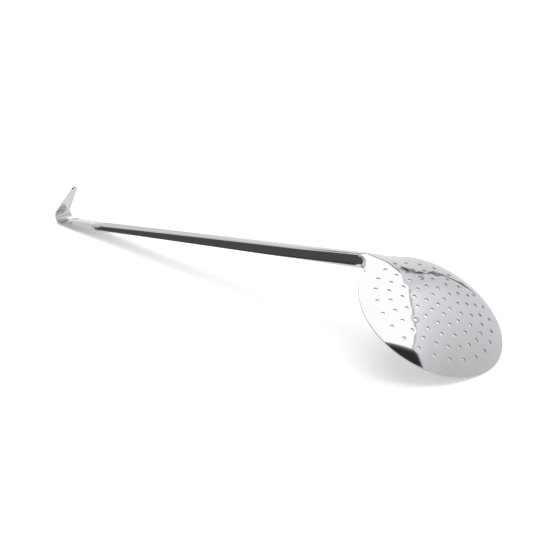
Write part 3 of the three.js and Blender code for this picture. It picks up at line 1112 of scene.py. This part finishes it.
def studio_light(tree, stage):
    """Colour of the studio's light in each direction, painted panel by panel.

    Panels are bounded by planes through the object. A plane is given by the parts of its normal along
    the camera's right, ahead of the camera and up, and its value is the sine of the angle beyond it.
    """
    direction = add_node(tree, "ShaderNodeTexCoord").outputs["Generated"]
    right, ahead = camera_axes(stage)

    def plane(normal):
        """Sine of the angle beyond a plane."""
        axis = right * normal[0] + ahead * normal[1] + Vector((0, 0, normal[2]))
        return vector_math(tree, "DOT_PRODUCT", direction, axis.normalized())["Value"]

    def within(*planes):
        """Least of several values, which is above 0 inside all of them."""
        inside = planes[0]
        for other in planes[1:]:
            inside = calculate(tree, "MINIMUM", inside, other)
        return inside

    def either(first, second):
        return calculate(tree, "MAXIMUM", first, second)

    def beyond(value):
        return calculate(tree, "MULTIPLY", value, -1)

    def wider(value, width):
        return calculate(tree, "ADD", value, width)

    def product(first, second):
        return calculate(tree, "MULTIPLY", first, second)

    def lit(value, soft=PLAIN_EDGE, edge=0):
        """Mask that is 1 inside an edge."""
        return soft_step(tree, value, edge, soft)

    def between(value, start, end):
        """Mask that is 1 between two ends, each given by its place and its softness."""
        ended = lit(value, end[1], end[0])
        return product(lit(value, start[1], start[0]), calculate(tree, "SUBTRACT", 1, ended))

    def paint(below, mask, tint):
        return blend_colours(tree, mask, below, tint)

    height = plane(UP)
    bearing = calculate(tree, "ARCTAN2", plane(RIGHT), plane(AHEAD))
    bearing = calculate(tree, "DEGREES", bearing)
    light = grey(stage.room)

    # Dark flags on the left, from the end of the backdrop round to the camera's side, and overhead
    left = within(plane(FLAGS_FAR), plane(FLAGS_NEAR))
    light = paint(light, lit(left, FLAGS_EDGE), grey(stage.flag))
    overhead = within(beyond(plane(BOX_NEAR)), plane(TOP_FLAG_NEAR))
    light = paint(light, lit(overhead, TOP_FLAG_EDGE), grey(stage.top_flag))

    # Grey panel on the right, brighter towards the softbox and darker towards the camera
    box_right = plane(BOX_RIGHT)
    side = within(plane(PANEL_FOOT), either(plane(PANEL_MIDDLE), plane(PANEL_HEAD)))
    glow = calculate(tree, "EXPONENT", product(box_right, 1 / GLOW_REACH))
    glow = product(glow, lit(bearing, GLOW_SOFTNESS, GLOW_BEARING))
    strength = calculate(tree, "MULTIPLY_ADD", bearing, -PANEL_FALL, stage.panel)
    strength = calculate(tree, "MULTIPLY_ADD", glow, stage.panel_glow, strength)
    panel = within(side, plane(PANEL_TOP))
    light = paint(light, lit(panel), scaled(tree, PANEL_TINT, strength))

    # Light backdrop, which falls off to either side, with the room's horizon low on its left
    back = within(beyond(side), beyond(plane(FLAGS_FAR)), plane(AHEAD))
    back = lit(back, BACKDROP_EDGE)
    past = calculate(tree, "SUBTRACT", calculate(tree, "ABSOLUTE", bearing), BACKDROP_EVEN)
    past = calculate(tree, "MAXIMUM", past, 0)
    strength = calculate(tree, "MULTIPLY_ADD", past, -BACKDROP_FALL, stage.backdrop)
    light = paint(light, back, scaled(tree, BACKDROP_TINT, strength))
    low = product(between(height, *HORIZON_ENDS), lit(plane(HORIZON_RIGHT), FLAGS_EDGE))
    light = paint(light, product(low, back), (*stage.horizon, 1))

    # Dark flag on the left of the softbox, and the dark gap between the backdrop and the panel
    beside = within(beyond(plane(BOX_LEFT)), plane(BOX_FLAG_FOOT))
    light = paint(light, lit(beside), grey(stage.flag))
    gap = between(side, (-GAP_WIDTH, PLAIN_EDGE), (0, PLAIN_EDGE))
    gap = product(gap, between(height, *GAP_ENDS))
    gap = product(gap, lit(plane(AHEAD)))
    light = paint(light, gap, grey(stage.gap))

    # Softbox overhead, with a dark frame along its far edges and a grey rail along its right one
    far = either(plane(BOX_FAR_RIGHT), plane(BOX_FAR_MIDDLE))
    far = within(far, plane(BOX_FAR_LEFT))
    near = within(plane(BOX_NEAR), plane(BOX_LEFT))
    edging = within(near, plane(FRAME_RIGHT), wider(far, FRAME_WIDTH))
    light = paint(light, lit(edging), grey(stage.frame))
    rail = within(near, far, wider(box_right, RAIL_WIDTH))
    light = paint(light, lit(rail, BOX_EDGE), grey(stage.rail))
    box = within(near, far, box_right)
    white = [stage.softbox * part for part in SOFTBOX_TINT]
    return paint(light, lit(box, BOX_EDGE), (*white, 1))


def add_world(stage):
    """White for the camera, and the studio's panels for the steel and for the light on the table."""
    world = bpy.data.worlds.new("Studio")
    world.use_nodes = True
    tree = world.node_tree
    background = tree.nodes["Background"]
    camera = add_node(tree, "ShaderNodeLightPath").outputs["Is Camera Ray"]
    light = blend_colours(tree, camera, studio_light(tree, stage), grey(1))
    connect(tree, background.inputs["Color"], light)
    bpy.context.scene.world = world


# Operators and panel

class SKIMMER_OT_stage(bpy.types.Operator):
    """Set up the white table, the studio and the camera"""
    bl_idname = "skimmer.stage"
    bl_label = "Set Up Stage"

    def execute(self, context):
        stage = context.scene.skimmer.stage
        context.scene.view_settings.view_transform = "Standard"
        add_camera(stage)
        add_floor(stage)
        add_world(stage)
        return {"FINISHED"}


class SKIMMER_OT_bowl(bpy.types.Operator):
    """Build the perforated bowl"""
    bl_idname = "skimmer.bowl"
    bl_label = "Build Bowl"

    def execute(self, context):
        sizes = context.scene.skimmer
        material = polished_steel(
            "Bowl steel", sizes.steel.bowl_colour, lines_round_bowl, with_cuts=True)
        points, normals, quads, plan, cut = bowl_arrays(sizes)
        carry(new_piece("skimmer_bowl", (points, normals, quads), material, plan, cut), "bowl")
        return {"FINISHED"}


class SKIMMER_OT_weld(bpy.types.Operator):
    """Build the ground weld between bowl and handle"""
    bl_idname = "skimmer.weld"
    bl_label = "Build Weld"

    def execute(self, context):
        sizes = context.scene.skimmer
        material = polished_steel("Weld steel", sizes.steel.weld_colour, lines_along_handle)
        carry(new_piece("skimmer_weld", weld_arrays(sizes), material), "neck_weld")
        return {"FINISHED"}


class SKIMMER_OT_handle(bpy.types.Operator):
    """Build the neck, the arched handle and its hook"""
    bl_idname = "skimmer.handle"
    bl_label = "Build Handle"

    def execute(self, context):
        sizes = context.scene.skimmer
        material = polished_steel("Handle steel", sizes.steel.handle_colour, lines_along_handle)
        carry(new_piece("skimmer_handle", handle_arrays(sizes), material), "handle")
        return {"FINISHED"}


OPERATORS = (SKIMMER_OT_stage, SKIMMER_OT_bowl, SKIMMER_OT_weld, SKIMMER_OT_handle)


class SKIMMER_PT_panel(bpy.types.Panel):
    """Buttons and settings of the skimmer"""
    bl_idname = "SKIMMER_PT_panel"
    bl_label = "Skimmer"
    bl_space_type = "VIEW_3D"
    bl_region_type = "UI"
    bl_category = "Skimmer"

    def draw(self, context):
        for operator in OPERATORS:
            self.layout.operator(operator.bl_idname)
        settings = context.scene.skimmer
        for group in (settings.bowl, settings.handle, settings.steel, settings.stage):
            box = self.layout.box()
            for name in group.__annotations__:
                box.prop(group, name)


GROUPS = (BowlSettings, HandleSettings, SteelSettings, StageSettings, SkimmerSettings)
CLASSES = (*GROUPS, *OPERATORS, SKIMMER_PT_panel)


def register():
    for item in CLASSES:
        bpy.utils.register_class(item)
    bpy.types.Scene.skimmer = bpy.props.PointerProperty(type=SkimmerSettings)


def unregister():
    del bpy.types.Scene.skimmer
    for item in reversed(CLASSES):
        bpy.utils.unregister_class(item)


def main():
    """Builds the stage and the pieces."""
    register()
    bpy.ops.skimmer.stage()
    bpy.ops.skimmer.bowl()
    bpy.ops.skimmer.weld()
    bpy.ops.skimmer.handle()


if __name__ == "__main__":
    main()
